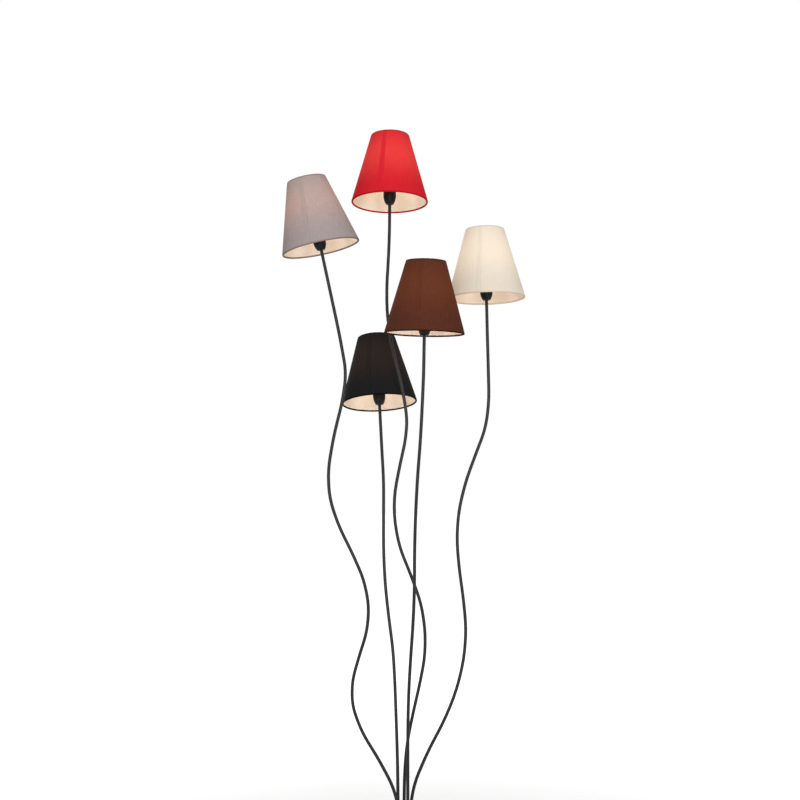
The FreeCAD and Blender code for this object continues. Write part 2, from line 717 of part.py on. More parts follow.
def bulb(name, place):
    """A round bulb: a thin screw cap and a hollow glass envelope that stands in it."""
    foot_height = "(cap_height + cap_spigot_height + core_floor_thickness + bulb_rest_gap)"
    cap_top = f"({foot_height} + bulb_cap_length)"
    neck = "(bulb_neck_dia / 2)"
    cap = turned("bulb_cap", [
        ("0", foot_height),
        ("bulb_contact_dia / 2", foot_height),
        ("bulb_cap_dia / 2", f"{foot_height} + bulb_contact_height"),
        ("bulb_cap_dia / 2", cap_top),
        (f"{neck} + running_clearance", cap_top),
        (f"{neck} + running_clearance", f"{foot_height} + bulb_cap_floor"),
        ("0", f"{foot_height} + bulb_cap_floor"),
    ])
    centre = f"({foot_height} + bulb_length - bulb_dia / 2)"
    crown = f"({centre} + sqrt((bulb_dia / 2) ^ 2 - (bulb_crown_dia / 2) ^ 2))"
    inner = "(bulb_dia / 2 - bulb_wall)"
    glass = turned("glass", [
        (f"{neck} - bulb_wall", f"{cap_top} - bulb_glass_grip"),
        (neck, f"{cap_top} - bulb_glass_grip"),
        (neck, f"{cap_top} + bulb_wall"),
        ("bulb_throat_dia / 2", f"{centre} - bulb_throat_drop"),
        ("bulb_dia / 2 * sin(bulb_cheek_angle * 1 deg)",
         f"{centre} - bulb_dia / 2 * cos(bulb_cheek_angle * 1 deg)", "bulb_dia / 2"),
        ("bulb_crown_dia / 2", crown),
        ("0", crown),
        ("0", f"{crown} - bulb_wall"),
        ("bulb_crown_dia / 2", f"{crown} - bulb_wall", inner),
        (f"{inner} * sin(bulb_cheek_angle * 1 deg)",
         f"{centre} - {inner} * cos(bulb_cheek_angle * 1 deg)"),
        ("bulb_throat_dia / 2 - bulb_wall", f"{centre} - bulb_throat_drop + bulb_wall / 2"),
        (f"{neck} - bulb_wall", f"{cap_top} + 2 * bulb_wall"),
    ])
    node(together([cap, glass]), f"bulb_{name}", place)


def shade(name, place):
    """Ring nut, wire frame and the tapered cover of stiffened fabric with turned-in rims. The
    frame is welded from a plate, two wire rings and the struts, each a solid of its own."""
    fitter_top = "(shell_shoulder_height + fitter_thickness)"
    nut = turned("nut", [
        ("shell_thread_dia / 2 + loose_clearance", fitter_top),
        ("ring_dia / 2", fitter_top),
        ("ring_dia / 2", f"{fitter_top} + ring_height"),
        ("shell_thread_dia / 2 + loose_clearance", f"{fitter_top} + ring_height"),
    ])
    node(nut, f"shade_ring_{name}", place)

    taper = "((shade_bottom_dia - shade_top_dia) / 2 / shade_height)"
    across = f"(shade_wall * sqrt(1 + {taper} ^ 2))"
    low = "rim_above_holder"
    high = "(rim_above_holder + shade_height)"
    cover = turned("cover", [
        ("shade_bottom_dia / 2 - shade_lip", low),
        ("shade_bottom_dia / 2", low),
        ("shade_top_dia / 2", high),
        ("shade_top_dia / 2 - shade_lip", high),
        ("shade_top_dia / 2 - shade_lip", f"{high} - shade_wall"),
        (f"shade_top_dia / 2 + {taper} * shade_wall - {across}", f"{high} - shade_wall"),
        (f"shade_bottom_dia / 2 - {taper} * shade_wall - {across}", f"{low} + shade_wall"),
        ("shade_bottom_dia / 2 - shade_lip", f"{low} + shade_wall"),
    ])
    node(cover, f"shade_cover_{name}", place)

    reach = f"(wire_dia / 2 * sqrt(1 + {taper} ^ 2) + {across} + running_clearance)"
    rise = "(shade_wall + wire_dia / 2 + running_clearance)"
    low_ring = doc.addObject("Part::Torus", hide_name("low_ring"))
    low_radius = f"(shade_bottom_dia / 2 - {taper} * {rise} - {reach})"
    low_ring.setExpression("Radius1", formula(low_radius))
    low_ring.setExpression("Radius2", formula("wire_dia / 2"))
    low_ring.Placement = at(0, 0, size(f"{low} + {rise}"))
    high_ring = doc.addObject("Part::Torus", hide_name("high_ring"))
    high_ring.setExpression("Radius1", formula(
        f"shade_top_dia / 2 + {taper} * {rise} - {reach}"))
    high_ring.setExpression("Radius2", formula("wire_dia / 2"))
    high_ring.Placement = at(0, 0, size(f"{high} - {rise}"))
    plate = turned("plate", [
        ("shell_thread_dia / 2 + loose_clearance", "shell_shoulder_height"),
        ("fitter_dia / 2", "shell_shoulder_height"),
        ("fitter_dia / 2", fitter_top),
        ("shell_thread_dia / 2 + loose_clearance", fitter_top),
    ])
    plate_edge = Vector(size("fitter_dia / 2"), 0,
                        size("shell_shoulder_height + fitter_thickness / 2"))
    ring_middle = Vector(size(low_radius), 0, size(f"{low} + {rise}"))
    outward = (ring_middle - plate_edge).normalize()
    start = plate_edge - outward * size("strut_bite")
    end = ring_middle - outward * size("wire_dia / 2 - strut_bite")
    welds = fused([plate, low_ring])
    struts = []
    for index in range(round(size("strut_count"))):
        turn = around(360 * index / size("strut_count") + size("strut_start_angle"))
        strut = doc.addObject("Part::Cylinder", hide_name("strut"))
        strut.setExpression("Radius", formula("wire_dia / 2"))
        strut.Height = (end - start).Length
        strut.Placement = turn.multiply(Placement(start, Rotation(Vector(0, 0, 1), outward)))
        struts.append(cut(strut, [welds]))
    node(together([plate, low_ring, high_ring] + struts), f"shade_frame_{name}", place)


for arm_name, arm_sizes in ARMS.items():
    head_frame = head_place(arm_sizes)[0]
    foot(arm_name)
    stem_and_lead(arm_name)
    lampholder(arm_name, head_frame)
    bulb(arm_name, head_frame)
    shade(arm_name, head_frame)

doc.recompute()
for obj in doc.Objects:
    if {"Invalid", "Error"} & set(obj.State):
        sys.exit(f"{obj.Label} failed to build: {obj.State}")
for obj in NODES:
    if obj.Shape.isNull() or not obj.Shape.isValid() or not obj.Shape.Solids:
        sys.exit(f"{obj.Label} has no sound solid")

os.makedirs("parts", exist_ok=True)
for obj in NODES:
    obj.Shape.exportStep(f"parts/{obj.Label}.step")
print(len(NODES), "nodes")
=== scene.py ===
import math

import bmesh
import bpy
import numpy as np
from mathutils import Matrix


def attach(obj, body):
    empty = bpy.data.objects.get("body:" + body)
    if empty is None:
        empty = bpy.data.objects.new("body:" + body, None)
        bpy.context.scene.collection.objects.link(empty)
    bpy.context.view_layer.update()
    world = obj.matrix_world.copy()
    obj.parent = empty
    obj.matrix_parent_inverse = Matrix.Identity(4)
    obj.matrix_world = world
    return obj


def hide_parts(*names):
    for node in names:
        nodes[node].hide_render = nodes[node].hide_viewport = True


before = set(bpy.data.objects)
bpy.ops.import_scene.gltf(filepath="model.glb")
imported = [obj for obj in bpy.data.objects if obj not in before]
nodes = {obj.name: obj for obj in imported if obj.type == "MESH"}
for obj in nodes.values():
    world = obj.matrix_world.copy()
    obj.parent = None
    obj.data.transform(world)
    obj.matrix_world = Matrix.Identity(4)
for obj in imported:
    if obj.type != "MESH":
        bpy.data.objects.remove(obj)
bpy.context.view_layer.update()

MM = 0.001

# Felt pad: a disc of black needled felt, 2 mm thick, glued under the cast weight.
# It is the face that the lamp stands on, and its cut edge is soft and a little fuzzy.
FELT_RADIUS = 124 * MM
FELT_THICKNESS = 2 * MM
FELT_EDGE = 0.6 * MM


class Wire:
    """An output of a shader node. An operator on it adds the Math node that it stands for."""

    def __init__(self, finish, socket):
        self.finish = finish
        self.socket = socket

    def math(self, operation, *values):
        return self.finish.add("Math", {"operation": operation}, dict(enumerate(values)))

    def __add__(self, other):
        return self.math("ADD", self, other)

    def __sub__(self, other):
        return self.math("SUBTRACT", self, other)

    def __rsub__(self, other):
        return self.math("SUBTRACT", other, self)

    def __mul__(self, other):
        return self.math("MULTIPLY", self, other)

    def __truediv__(self, other):
        return self.math("DIVIDE", self, other)

    def __rtruediv__(self, other):
        return self.math("DIVIDE", other, self)

    __radd__ = __add__
    __rmul__ = __mul__

    def clamped(self):
        return self.math("MINIMUM", self.math("MAXIMUM", self, 0.0), 1.0)

    def wave(self, count):
        """A sine that goes up and down this many times while the value goes from 0 to 1."""
        return self.math("SINE", self * (2 * math.pi * count))

    def within(self, low, high):
        """0 below low, 1 above high, and a smooth rise between them."""
        share = ((self - low) / (high - low)).clamped()
        return share * share * (3.0 - 2.0 * share)


class Finish:
    """A material, or the world where library is bpy.data.worlds. Its add method makes any node."""

    def __init__(self, name, library=bpy.data.materials):
        self.material = library.new(name)
        self.material.use_nodes = True
        self.tree = self.material.node_tree
        self.tree.nodes.clear()

    def add(self, kind, settings=None, sockets=None, output=0):
        """A node of this kind: first its settings, then the values or links of its sockets."""
        node = self.tree.nodes.new("ShaderNode" + kind)
        for key, value in (settings or {}).items():
            if key == "stops":
                ramp = node.color_ramp.elements
                while len(ramp) < len(value):
                    ramp.new(0.5)
                for element, (position, colour) in zip(ramp, value):
                    element.position = position
                    element.color = (*colour, 1.0)
            else:
                setattr(node, key, value)
        for key, value in (sockets or {}).items():
            socket = node.inputs[key]
            if isinstance(value, Wire):
                self.tree.links.new(value.socket, socket)
            elif socket.type == "RGBA":
                socket.default_value = (*value, 1.0)
            else:
                socket.default_value = value
        return Wire(self, node.outputs[output]) if node.outputs else node

    def place(self, kind="Object"):
        return self.add("TexCoord", output=kind)

    def mix(self, share, first, second):
        """The first colour where share is 0, the second where it is 1."""
        return self.add("Mix", {"data_type": "RGBA"}, {0: share, 6: first, 7: second}, 2)

    def noise(self, where, scale, detail=2.0, roughness=0.5):
        return self.add("TexNoise", None, {
            "Vector": where, "Scale": scale, "Detail": detail, "Roughness": roughness})

    def stretched(self, where, along):
        """The coordinates with each axis multiplied, for grain that runs one way."""
        return self.add("VectorMath", {"operation": "MULTIPLY"}, {0: where, 1: along})

    def bump(self, height, distance, strength=1.0):
        return self.add("Bump", None, {
            "Height": height, "Distance": distance, "Strength": strength})

    def surface(self, **sockets):
        """Ends the tree in a Principled surface. Words of a socket's name are joined by _."""
        named = {key.replace("_", " "): value for key, value in sockets.items()}
        shader = self.add("BsdfPrincipled", None, named)
        self.add("OutputMaterial", None, {"Surface": shader})
        return self.material


def dress(node_name, material):
    """Gives a piece of the frame its finish."""
    mesh = nodes[node_name].data
    mesh.materials.clear()
    mesh.materials.append(material)


def skin(name, points, material, body, unrolled=None, closed=False, crease=40):
    """A mesh over a grid of points: rows run along a profile and columns run round it. The
    last column joins the first, and with closed the last row joins the first as well.
    unrolled holds (u, v) for each corner of the grid, with one more column than points."""
    rows, columns = points.shape[:2]
    index = np.arange(rows * columns).reshape(rows, columns)
    index = np.concatenate([index, index[:, :1]], axis=1)
    if closed:
        index = np.concatenate([index, index[:1]], axis=0)

    def corners(grid):
        return np.stack([grid[:-1, :-1], grid[:-1, 1:], grid[1:, 1:], grid[1:, :-1]], axis=2)

    mesh = bpy.data.meshes.new(name)
    mesh.from_pydata(points.reshape(-1, 3).tolist(), [], corners(index).reshape(-1, 4).tolist())
    if unrolled is not None:
        layer = mesh.uv_layers.new(name="unrolled")
        layer.data.foreach_set("uv", corners(unrolled).astype(np.float32).ravel())
    work = bmesh.new()
    work.from_mesh(mesh)
    bmesh.ops.remove_doubles(work, verts=work.verts, dist=0.001 * MM)
    if work.calc_volume(signed=True) < 0:
        bmesh.ops.reverse_faces(work, faces=work.faces)
    work.to_mesh(mesh)
    work.free()
    mesh.shade_smooth()
    mesh.set_sharp_from_angle(angle=math.radians(crease))
    mesh.materials.append(material)
    piece = bpy.data.objects.new(name, mesh)
    bpy.context.scene.collection.objects.link(piece)
    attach(piece, body)
    return piece


def softened(corners, steps=5):
    """A profile through (radius, height, rounding) corners. Each corner becomes a quadratic
    curve from the point one rounding before it to the point one rounding after it."""
    points = np.array(corners, float)
    places, rounding = points[:, :2], points[:, 2:]
    back = np.roll(places, 1, axis=0) - places
    ahead = np.roll(places, -1, axis=0) - places
    back /= np.linalg.norm(back, axis=1, keepdims=True)
    ahead /= np.linalg.norm(ahead, axis=1, keepdims=True)
    back[0] = 0
    ahead[-1] = 0
    t = np.linspace(0, 1, steps)[None, :, None]
    start = (places + back * rounding)[:, None]
    finish = (places + ahead * rounding)[:, None]
    curve = start * (1 - t) ** 2 + 2 * places[:, None] * t * (1 - t) + finish * t ** 2
    return curve.reshape(-1, 2)


def spun(profile, sides):
    """The profile's points turned about Z: (r cos a, r sin a, z)."""
    angle = np.linspace(0, 2 * np.pi, sides, endpoint=False)
    radius, height = profile[:, :1], profile[:, 1:]
    return np.stack([radius * np.cos(angle), radius * np.sin(angle),
                     np.broadcast_to(height, (len(profile), sides))], axis=2)


felt = Finish("black_felt")
fibres = felt.noise(felt.place(), 900.0, 4.0, 0.7)
clumps = felt.noise(felt.place(), 120.0, 3.0)
felt_material = felt.surface(
    Base_Color=felt.mix(fibres * clumps * 3.0, (0.012, 0.012, 0.013), (0.055, 0.053, 0.052)),
    Roughness=0.95, Sheen_Weight=0.3, Sheen_Roughness=0.6,
    Normal=felt.bump(fibres + clumps, 0.4 * MM, 0.7))
felt_profile = softened([
    (0, 0, 0), (FELT_RADIUS, 0, FELT_EDGE), (FELT_RADIUS, FELT_THICKNESS, FELT_EDGE),
    (0, FELT_THICKNESS, 0)])
felt_disc = skin("felt_disc", spun(felt_profile, 192), felt_material, "base")
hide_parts("felt_pad")

# Cast weight: a grey iron disc with a ring wall, sand cast and left rough, under the cover.
iron = Finish("cast_iron")
sand = iron.noise(iron.place(), 700.0, 5.0, 0.65)
stains = iron.noise(iron.place(), 40.0, 3.0)
dress("base_weight", iron.surface(
    Base_Color=iron.mix(stains, (0.10, 0.10, 0.10), (0.20, 0.185, 0.17)),
    Metallic=0.8, Roughness=0.62 + 0.2 * sand, Normal=iron.bump(sand, 0.5 * MM)))

# Base cover, hub, feet and stems: steel with a satin black powder coat. The coat has the
# fine orange peel of a baked powder, and a little dust lies on what faces up.
COAT_BLACK = (0.0055, 0.0055, 0.0057)
COAT_GREY = (0.0100, 0.0100, 0.0100)


def powder_coat(name, peel_size, dust):
    """A black powder coat. peel_size is the number of its bumps in a metre."""
    coat = Finish(name)
    where = coat.place()
    peel = coat.noise(where, peel_size, 2.0)
    cloud = coat.noise(where, 30.0, 3.0)
    upward = coat.add("SeparateXYZ", None, {0: coat.add("NewGeometry", output="Normal")}, 2)
    settled = upward.within(0.55, 1.0) * cloud.within(0.35, 0.75) * dust
    tone = coat.mix(cloud, COAT_BLACK, COAT_GREY)
    return coat.surface(
        Base_Color=coat.mix(settled, tone, (0.16, 0.155, 0.145)),
        Roughness=0.32 + 0.12 * cloud + 0.3 * settled, Specular_IOR_Level=0.25,
        Normal=coat.bump(peel, 0.12 * MM, 0.5))


cover_coat = powder_coat("cover_powder_coat", 1400.0, 0.18)
stem_coat = powder_coat("stem_powder_coat", 1800.0, 0.0)
ARMS = ("grey", "red", "cream", "brown", "black")
dress("base_cover", cover_coat)
dress("hub", cover_coat)
for arm in ARMS:
    dress(f"foot_{arm}", cover_coat)
    dress(f"stem_{arm}", stem_coat)

# Bolt, washer and grub screws: zinc-plated steel, with fine turning lines.
zinc = Finish("zinc_plate")
turning = zinc.noise(zinc.stretched(zinc.place(), (300.0, 300.0, 4000.0)), 1.0, 2.0)
dull = zinc.noise(zinc.place(), 250.0, 3.0)
zinc_material = zinc.surface(
    Base_Color=zinc.mix(dull, (0.50, 0.50, 0.51), (0.66, 0.66, 0.68)), Metallic=1.0,
    Roughness=0.28 + 0.25 * turning, Normal=zinc.bump(turning, 0.05 * MM, 0.6))
for name in ("hub_bolt", "grub_screws"):
    dress(name, zinc_material)

# Terminal block, cord gland and the leads inside: a moulded white block, a soft black
# grommet in the cover's edge, and pale two-core leads with a rounded sheath.
moulded = Finish("moulded_white")
flow = moulded.noise(moulded.place(), 90.0, 3.0)
dress("terminal_block", moulded.surface(
    Base_Color=moulded.mix(flow, (0.70, 0.70, 0.66), (0.78, 0.78, 0.75)),
    Roughness=0.42 + 0.15 * flow,
    Normal=moulded.bump(moulded.noise(moulded.place(), 1500.0), 0.05 * MM, 0.4)))
grommet = Finish("grommet_rubber")
bloom = grommet.noise(grommet.place(), 350.0, 3.0)
dress("cord_gland", grommet.surface(
    Base_Color=grommet.mix(bloom, (0.014, 0.014, 0.014), (0.040, 0.040, 0.039)),
    Roughness=0.58 + 0.2 * bloom, Normal=grommet.bump(bloom, 0.1 * MM, 0.5)))
sheath = Finish("lead_sheath")
scuff = sheath.noise(sheath.place(), 500.0, 3.0)
sheath_material = sheath.surface(
    Base_Color=sheath.mix(scuff, (0.55, 0.55, 0.52), (0.66, 0.66, 0.63)),
    Roughness=0.45 + 0.15 * scuff, Normal=sheath.bump(scuff, 0.05 * MM, 0.4))
dress("base_leads", sheath_material)
for arm in ARMS:
    dress(f"lead_{arm}", sheath_material)

# Lampholder: moulded black thermoplastic in two cups, with a pale ceramic insert that holds
# the contacts. Its cap is clamped on the stem by a small screw at the front.
moulding = Finish("black_moulding")
flow_marks = moulding.noise(moulding.place(), 160.0, 3.0)
spark = moulding.noise(moulding.place(), 2200.0, 2.0)
holder_material = moulding.surface(
    Base_Color=moulding.mix(flow_marks, (0.0035, 0.0035, 0.0038), (0.007, 0.007, 0.0074)),
    Roughness=0.36 + 0.16 * flow_marks, Specular_IOR_Level=0.14,
    Normal=moulding.bump(spark, 0.05 * MM, 0.5))
porcelain = Finish("porcelain")
glaze = porcelain.noise(porcelain.place(), 300.0, 3.0)
core_material = porcelain.surface(
    Base_Color=porcelain.mix(glaze, (0.78, 0.76, 0.71), (0.86, 0.84, 0.80)),
    Roughness=0.35 + 0.2 * glaze, Normal=porcelain.bump(glaze, 0.1 * MM, 0.3))
for arm in ARMS:
    dress(f"holder_cap_{arm}", holder_material)
    dress(f"holder_shell_{arm}", holder_material)
    dress(f"shade_ring_{arm}", holder_material)
    dress(f"holder_core_{arm}", core_material)

# Bulb: a round bulb of opal glass on a nickel-plated screw cap, lit. The thread is rolled
# into the cap, and the contact sits on a button at its end. Heights are above the
# lampholder's flat end, along the head's own axis.
BULB_FOOT = 30.3 * MM
BULB_RADIUS = 22.5 * MM
BULB_CENTRE = 86.8 * MM
NECK_RADIUS = 6.1 * MM
NECK_IN_CAP = 6 * MM
NECK_TAPER = 0.1 * MM
FLARE_START = 2 * MM
FLARE_RADIUS = 10.2 * MM
FLARE_TOP = 62 * MM
GLASS_OPENING = math.radians(42)
CAP_RADIUS = 7 * MM
CAP_TOP = 54.3 * MM
CAP_LIP_RADIUS = 6.3 * MM
BUTTON_RADIUS = 2.3 * MM
BUTTON_RISE = 2.6 * MM
THREAD_START = 3 * MM
THREAD_PITCH = 2.8 * MM
THREAD_DEPTH = 0.45 * MM
THREAD_FADE_IN = 0.12
THREAD_FADE_OUT = 0.3
BULB_SIDES = 64
opal = Finish("lit_opal_glass")
hot = opal.noise(opal.place(), 25.0, 2.0)
opal_material = opal.surface(
    Base_Color=opal.mix(hot, (0.92, 0.88, 0.80), (0.96, 0.93, 0.87)), Roughness=0.25,
    Emission_Color=opal.mix(hot, (1.0, 0.76, 0.50), (1.0, 0.82, 0.60)),
    Emission_Strength=3.0)
nickel = Finish("nickel_cap")
rolled = nickel.noise(nickel.stretched(nickel.place(), (500.0, 500.0, 3000.0)), 1.0, 2.0)
nickel_material = nickel.surface(
    Base_Color=nickel.mix(rolled, (0.62, 0.60, 0.56), (0.74, 0.72, 0.68)), Metallic=1.0,
    Roughness=0.22 + 0.2 * rolled)
glass_angle = np.linspace(math.pi - GLASS_OPENING, 0, 40)
sphere = np.stack([BULB_RADIUS * np.sin(glass_angle),
                   BULB_CENTRE + BULB_RADIUS * np.cos(glass_angle)], axis=1)
neck = softened([
    (0, CAP_TOP - NECK_IN_CAP, 0), (NECK_RADIUS, CAP_TOP - NECK_IN_CAP, 0.5 * MM),
    (NECK_RADIUS + NECK_TAPER, CAP_TOP + FLARE_START, 3 * MM),
    (FLARE_RADIUS, FLARE_TOP, 4 * MM)], 6)[:-1]
glass_profile = np.concatenate([neck, sphere])

# Where the heads are: the middle of each shade's lower rim, its lean (shift to the right and
# to the back per unit of height), and where the seam of the shade is, in degrees to the right
# of the side that faces the front.
HEADS = {
    "grey": {"rim": (-179.0, -42.5, 1328.6), "lean": (-0.2164, 0.0038), "seam": -20},
    "red": {"rim": (-31.5, 25.1, 1441.9), "lean": (0.0049, 0.0905), "seam": -20},
    "cream": {"rim": (180.6, 8.7, 1226.9), "lean": (-0.0182, 0.0403), "seam": -20},
    "brown": {"rim": (42.5, -109.8, 1136.7), "lean": (0.0232, -0.0271), "seam": -19},
    "black": {"rim": (-54.8, 107.3, 1003.2), "lean": (-0.0522, 0.1828), "seam": -23},
}
RIM_ABOVE_HOLDER = 3 * MM


def on_head(arm, points):
    """Points of a head, given about the shade's own axis with the lampholder's flat end at
    height 0, brought to their place: the turn takes Z onto the axis by the shortest way,
    R = I + K + K K / (1 + c), where K is the cross matrix of Z x axis and c their cosine."""
    axis = np.array([*HEADS[arm]["lean"], 1.0])
    axis /= np.linalg.norm(axis)
    cross = np.array([[0, 0, axis[0]], [0, 0, axis[1]], [-axis[0], -axis[1], 0]])
    turn = np.eye(3) + cross + cross @ cross / (1 + axis[2])
    origin = np.array(HEADS[arm]["rim"]) * MM - axis * RIM_ABOVE_HOLDER
    return points @ turn.T + origin


def screw_cap(rows, sides):
    """The screw cap: (r cos a, r sin a, z), where the radius is the cap's less a share of the
    thread's depth that goes up and down once in each pitch of height less the turn:
    r = R - D (1 - cos(2 pi (z / P - a / 2 pi))) / 2, fading out at both ends."""
    angle = np.linspace(0, 2 * np.pi, sides, endpoint=False)[None, :]
    height = np.linspace(BULB_FOOT + THREAD_START, CAP_TOP, rows)[:, None]
    share = (height - height[0]) / (height[-1] - height[0])
    fade = np.clip(np.minimum(share / THREAD_FADE_IN, (1 - share) / THREAD_FADE_OUT), 0, 1)
    wave = (1 - np.cos(2 * np.pi * height / THREAD_PITCH - angle)) / 2
    radius = CAP_RADIUS - THREAD_DEPTH * wave * fade
    wall = np.stack([radius * np.cos(angle), radius * np.sin(angle),
                     np.broadcast_to(height, radius.shape)], axis=2)
    button = spun(softened([(0, BULB_FOOT, 0), (BUTTON_RADIUS, BULB_FOOT, 0.6 * MM),
                            (CAP_RADIUS, BULB_FOOT + BUTTON_RISE, 0.5 * MM)]), sides)
    lid = spun(np.array([(CAP_LIP_RADIUS, CAP_TOP), (0, CAP_TOP)]), sides)
    return np.concatenate([button, wall, lid])


for arm in HEADS:
    body = f"bulb_{arm}"
    glass = skin(f"bulb_glass_{arm}", on_head(arm, spun(glass_profile, BULB_SIDES)),
                 opal_material, body)
    skin(f"bulb_cap_{arm}", on_head(arm, screw_cap(80, BULB_SIDES)), nickel_material, body)
    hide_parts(body)

# Wire frame of the shade: two rings of steel wire with three struts to a pressed plate that
# sits on the lampholder's shoulder, all dipped in white paint. Its faint warm emission is
# painted light: the bulb's light on the white wire.
white_paint = Finish("white_dipped_paint")
runs = white_paint.noise(white_paint.place(), 220.0, 3.0)
frame_material = white_paint.surface(
    Base_Color=white_paint.mix(runs, (0.74, 0.72, 0.68), (0.82, 0.80, 0.76)),
    Roughness=0.3 + 0.2 * runs, Normal=white_paint.bump(runs, 0.2 * MM, 0.4),
    Emission_Color=(0.42, 0.30, 0.20), Emission_Strength=0.10)
for arm in ARMS:
    dress(f"shade_frame_{arm}", frame_material)

# Shade cover: woven cotton with slubs, glued on a stiff lining and lapped in one seam. Its
# two edges are wrapped round the wire rings, through TUCK degrees, and tucked in behind
# them. They leave each wire LEAVE degrees short of straight out of the shade.
RIM_RADIUS = 85.5 * MM
TOP_RADIUS = 42.25 * MM
SHADE_HEIGHT = 155 * MM
FABRIC = 0.4 * MM
STIFF_WALL = 0.8 * MM
WIRE_RADIUS = 1.25 * MM
WIRE_GAP = 0.05 * MM
ROLL = WIRE_RADIUS + FABRIC + 0.25 * MM
TUCK = 270
LEAVE = 8
CLEAR_OF_ROLL = 2 * ROLL
SEAM_WIDTH = 11 * MM
SEAM_RISE = 0.35 * MM
SLOPE = math.atan2(RIM_RADIUS - TOP_RADIUS, SHADE_HEIGHT)
SLANT = math.hypot(RIM_RADIUS - TOP_RADIUS, SHADE_HEIGHT)
MEAN_RADIUS = (RIM_RADIUS + TOP_RADIUS) / 2
THREAD = 0.9 * MM
# Columns of the mesh round the shade and across the lap, and half the step at the lap's end,
# in radians.
COLUMNS = 288
LAP_COLUMNS = 8
STEP = 0.003


def wall_point(along, depth):
    """A point of the shade's wall in (radius, height): this far up the slant from the rim,
    and this deep under its outer face."""
    radius = RIM_RADIUS - along * math.sin(SLOPE) - depth * math.cos(SLOPE)
    height = RIM_ABOVE_HOLDER + along * math.cos(SLOPE) - depth * math.sin(SLOPE)
    return np.stack(np.broadcast_arrays(radius, height), axis=-1)


# Both wires lie against the inner face, as far from the ends of the shade as its wall asks.
wire_depth = STIFF_WALL + WIRE_RADIUS + WIRE_GAP * math.cos(SLOPE)
wire_rise = STIFF_WALL + WIRE_RADIUS + WIRE_GAP
low_along = (wire_rise + wire_depth * math.sin(SLOPE)) / math.cos(SLOPE)
high_along = SLANT - (wire_rise - wire_depth * math.sin(SLOPE)) / math.cos(SLOPE)


def about_wire(along, radius, start, finish, steps=16):
    """An arc in (radius, height) about a wire, between two directions given in degrees from
    the one that points straight out of the shade."""
    angle = SLOPE + np.radians(np.linspace(start, finish, steps))
    middle = wall_point(along, wire_depth)
    return middle + radius * np.stack([np.cos(angle), np.sin(angle)], axis=1)


def fabric_line(depth):
    """The fabric's profile at this depth under its face: from its end tucked in above the
    lower wire, round under the wire, up the wall, over the upper wire and in below it."""
    reach = ROLL - depth
    return np.concatenate([
        about_wire(low_along, reach, -TUCK, -LEAVE, 22),
        wall_point(np.linspace(low_along + CLEAR_OF_ROLL, high_along - CLEAR_OF_ROLL, 60), depth),
        about_wire(high_along, reach, LEAVE, TUCK, 22),
    ])


def cloth_round(profile, seam, rise):
    """The profile turned about Z. From the seam's angle the lap rises softly to its full
    thickness over a third of its width, and ends in a step: two columns stand close together
    there. The radius is r + rise * min(1, 3 a / A) up to the lap's end A, and r after it."""
    lap = SEAM_WIDTH / MEAN_RADIUS
    even = np.linspace(lap + STEP, 2 * np.pi, COLUMNS, endpoint=False)
    angle = np.concatenate([np.linspace(0, lap - STEP, LAP_COLUMNS), even])[None, :]
    radius, height = profile[:, :1], profile[:, 1:]
    raised = np.where(angle < lap, np.clip(3 * angle / lap, 0, 1), 0)
    grown = radius + rise * raised
    turned = angle + math.radians(seam - 90)
    return np.stack([grown * np.cos(turned), grown * np.sin(turned),
                     np.broadcast_to(height, grown.shape)], axis=2)


def unrolled_map(profile):
    """(u, v) of each corner of a closed profile's surface: u is the way round the shade in
    turns from the seam, and v is the height above the rim as a share of the shade's height."""
    share = (profile[:, 1] - RIM_ABOVE_HOLDER) / SHADE_HEIGHT
    share = np.append(share, share[0])
    lap = SEAM_WIDTH / MEAN_RADIUS
    turn = np.concatenate([np.linspace(0, lap - STEP, LAP_COLUMNS),
                           np.linspace(lap + STEP, 2 * np.pi, COLUMNS + 1)]) / (2 * np.pi)
    return np.stack(np.meshgrid(turn, share), axis=2)


def shade_cloth(name, base, slub, rim_shade_tone, glow, least=0.0, seam_loss=0.38):
    """Woven cotton, with the bulb's light through it painted as emission. u runs round the shade
    and v up it. Slubs are long noise along v, and the weave is two fine waves. The painted glow
    is a soft hill in v about the bulb's height, never under the least share, and the seam's
    double cloth takes seam_loss of it. Both rims and the lap's cut edge are mixed towards the
    rim tone: painted shade of the wrapped edges and of the lap's step."""
    cloth = Finish(name)
    where = cloth.place("UV")
    turn = cloth.add("SeparateXYZ", None, {0: where}, 0)
    up = cloth.add("SeparateXYZ", None, {0: where}, 1)
    slubs = cloth.noise(cloth.stretched(where, (420.0, 7.0, 1.0)), 1.0, 3.0, 0.6)
    picks = cloth.noise(cloth.stretched(where, (16.0, 170.0, 1.0)), 1.0, 2.0, 0.5)
    weave = turn.wave(round(2 * math.pi * MEAN_RADIUS / THREAD)) + up.wave(SLANT / THREAD)
    grain = (slubs * 0.65 + picks * 0.35).within(0.3, 0.7)
    lap_end = SEAM_WIDTH / (2 * math.pi * MEAN_RADIUS)
    lap = 1.0 - turn.within(lap_end, lap_end * 1.02)
    # Painted shade: a thin darker line along the lap's cut edge, where the step would shade it.
    cut_edge_shade = lap * turn.within(lap_end * 0.86, lap_end * 0.96)
    hill = up.within(0.10, 0.66) * (1.0 - up.within(0.66, 1.20))
    light = (least + (1.0 - least) * hill) * (1.0 - seam_loss * lap) * (0.93 + 0.14 * grain)
    # Painted shade along both rims, where the cloth is wrapped round the wires.
    rim = 1.0 - up.within(0.014, 0.026) * (1.0 - up.within(0.976, 0.986))
    tone = cloth.mix(grain, slub, base)
    tone = cloth.mix((rim + cut_edge_shade * 0.30).clamped(), tone, rim_shade_tone)
    return cloth.surface(
        Base_Color=tone, Roughness=0.9, Specular_IOR_Level=0.04,
        Emission_Color=cloth.mix(light, (0.0, 0.0, 0.0), glow), Emission_Strength=1.0,
        Normal=cloth.bump(slubs * 1.2 + picks * 0.6 + weave * 0.15, 0.25 * MM, 0.7))


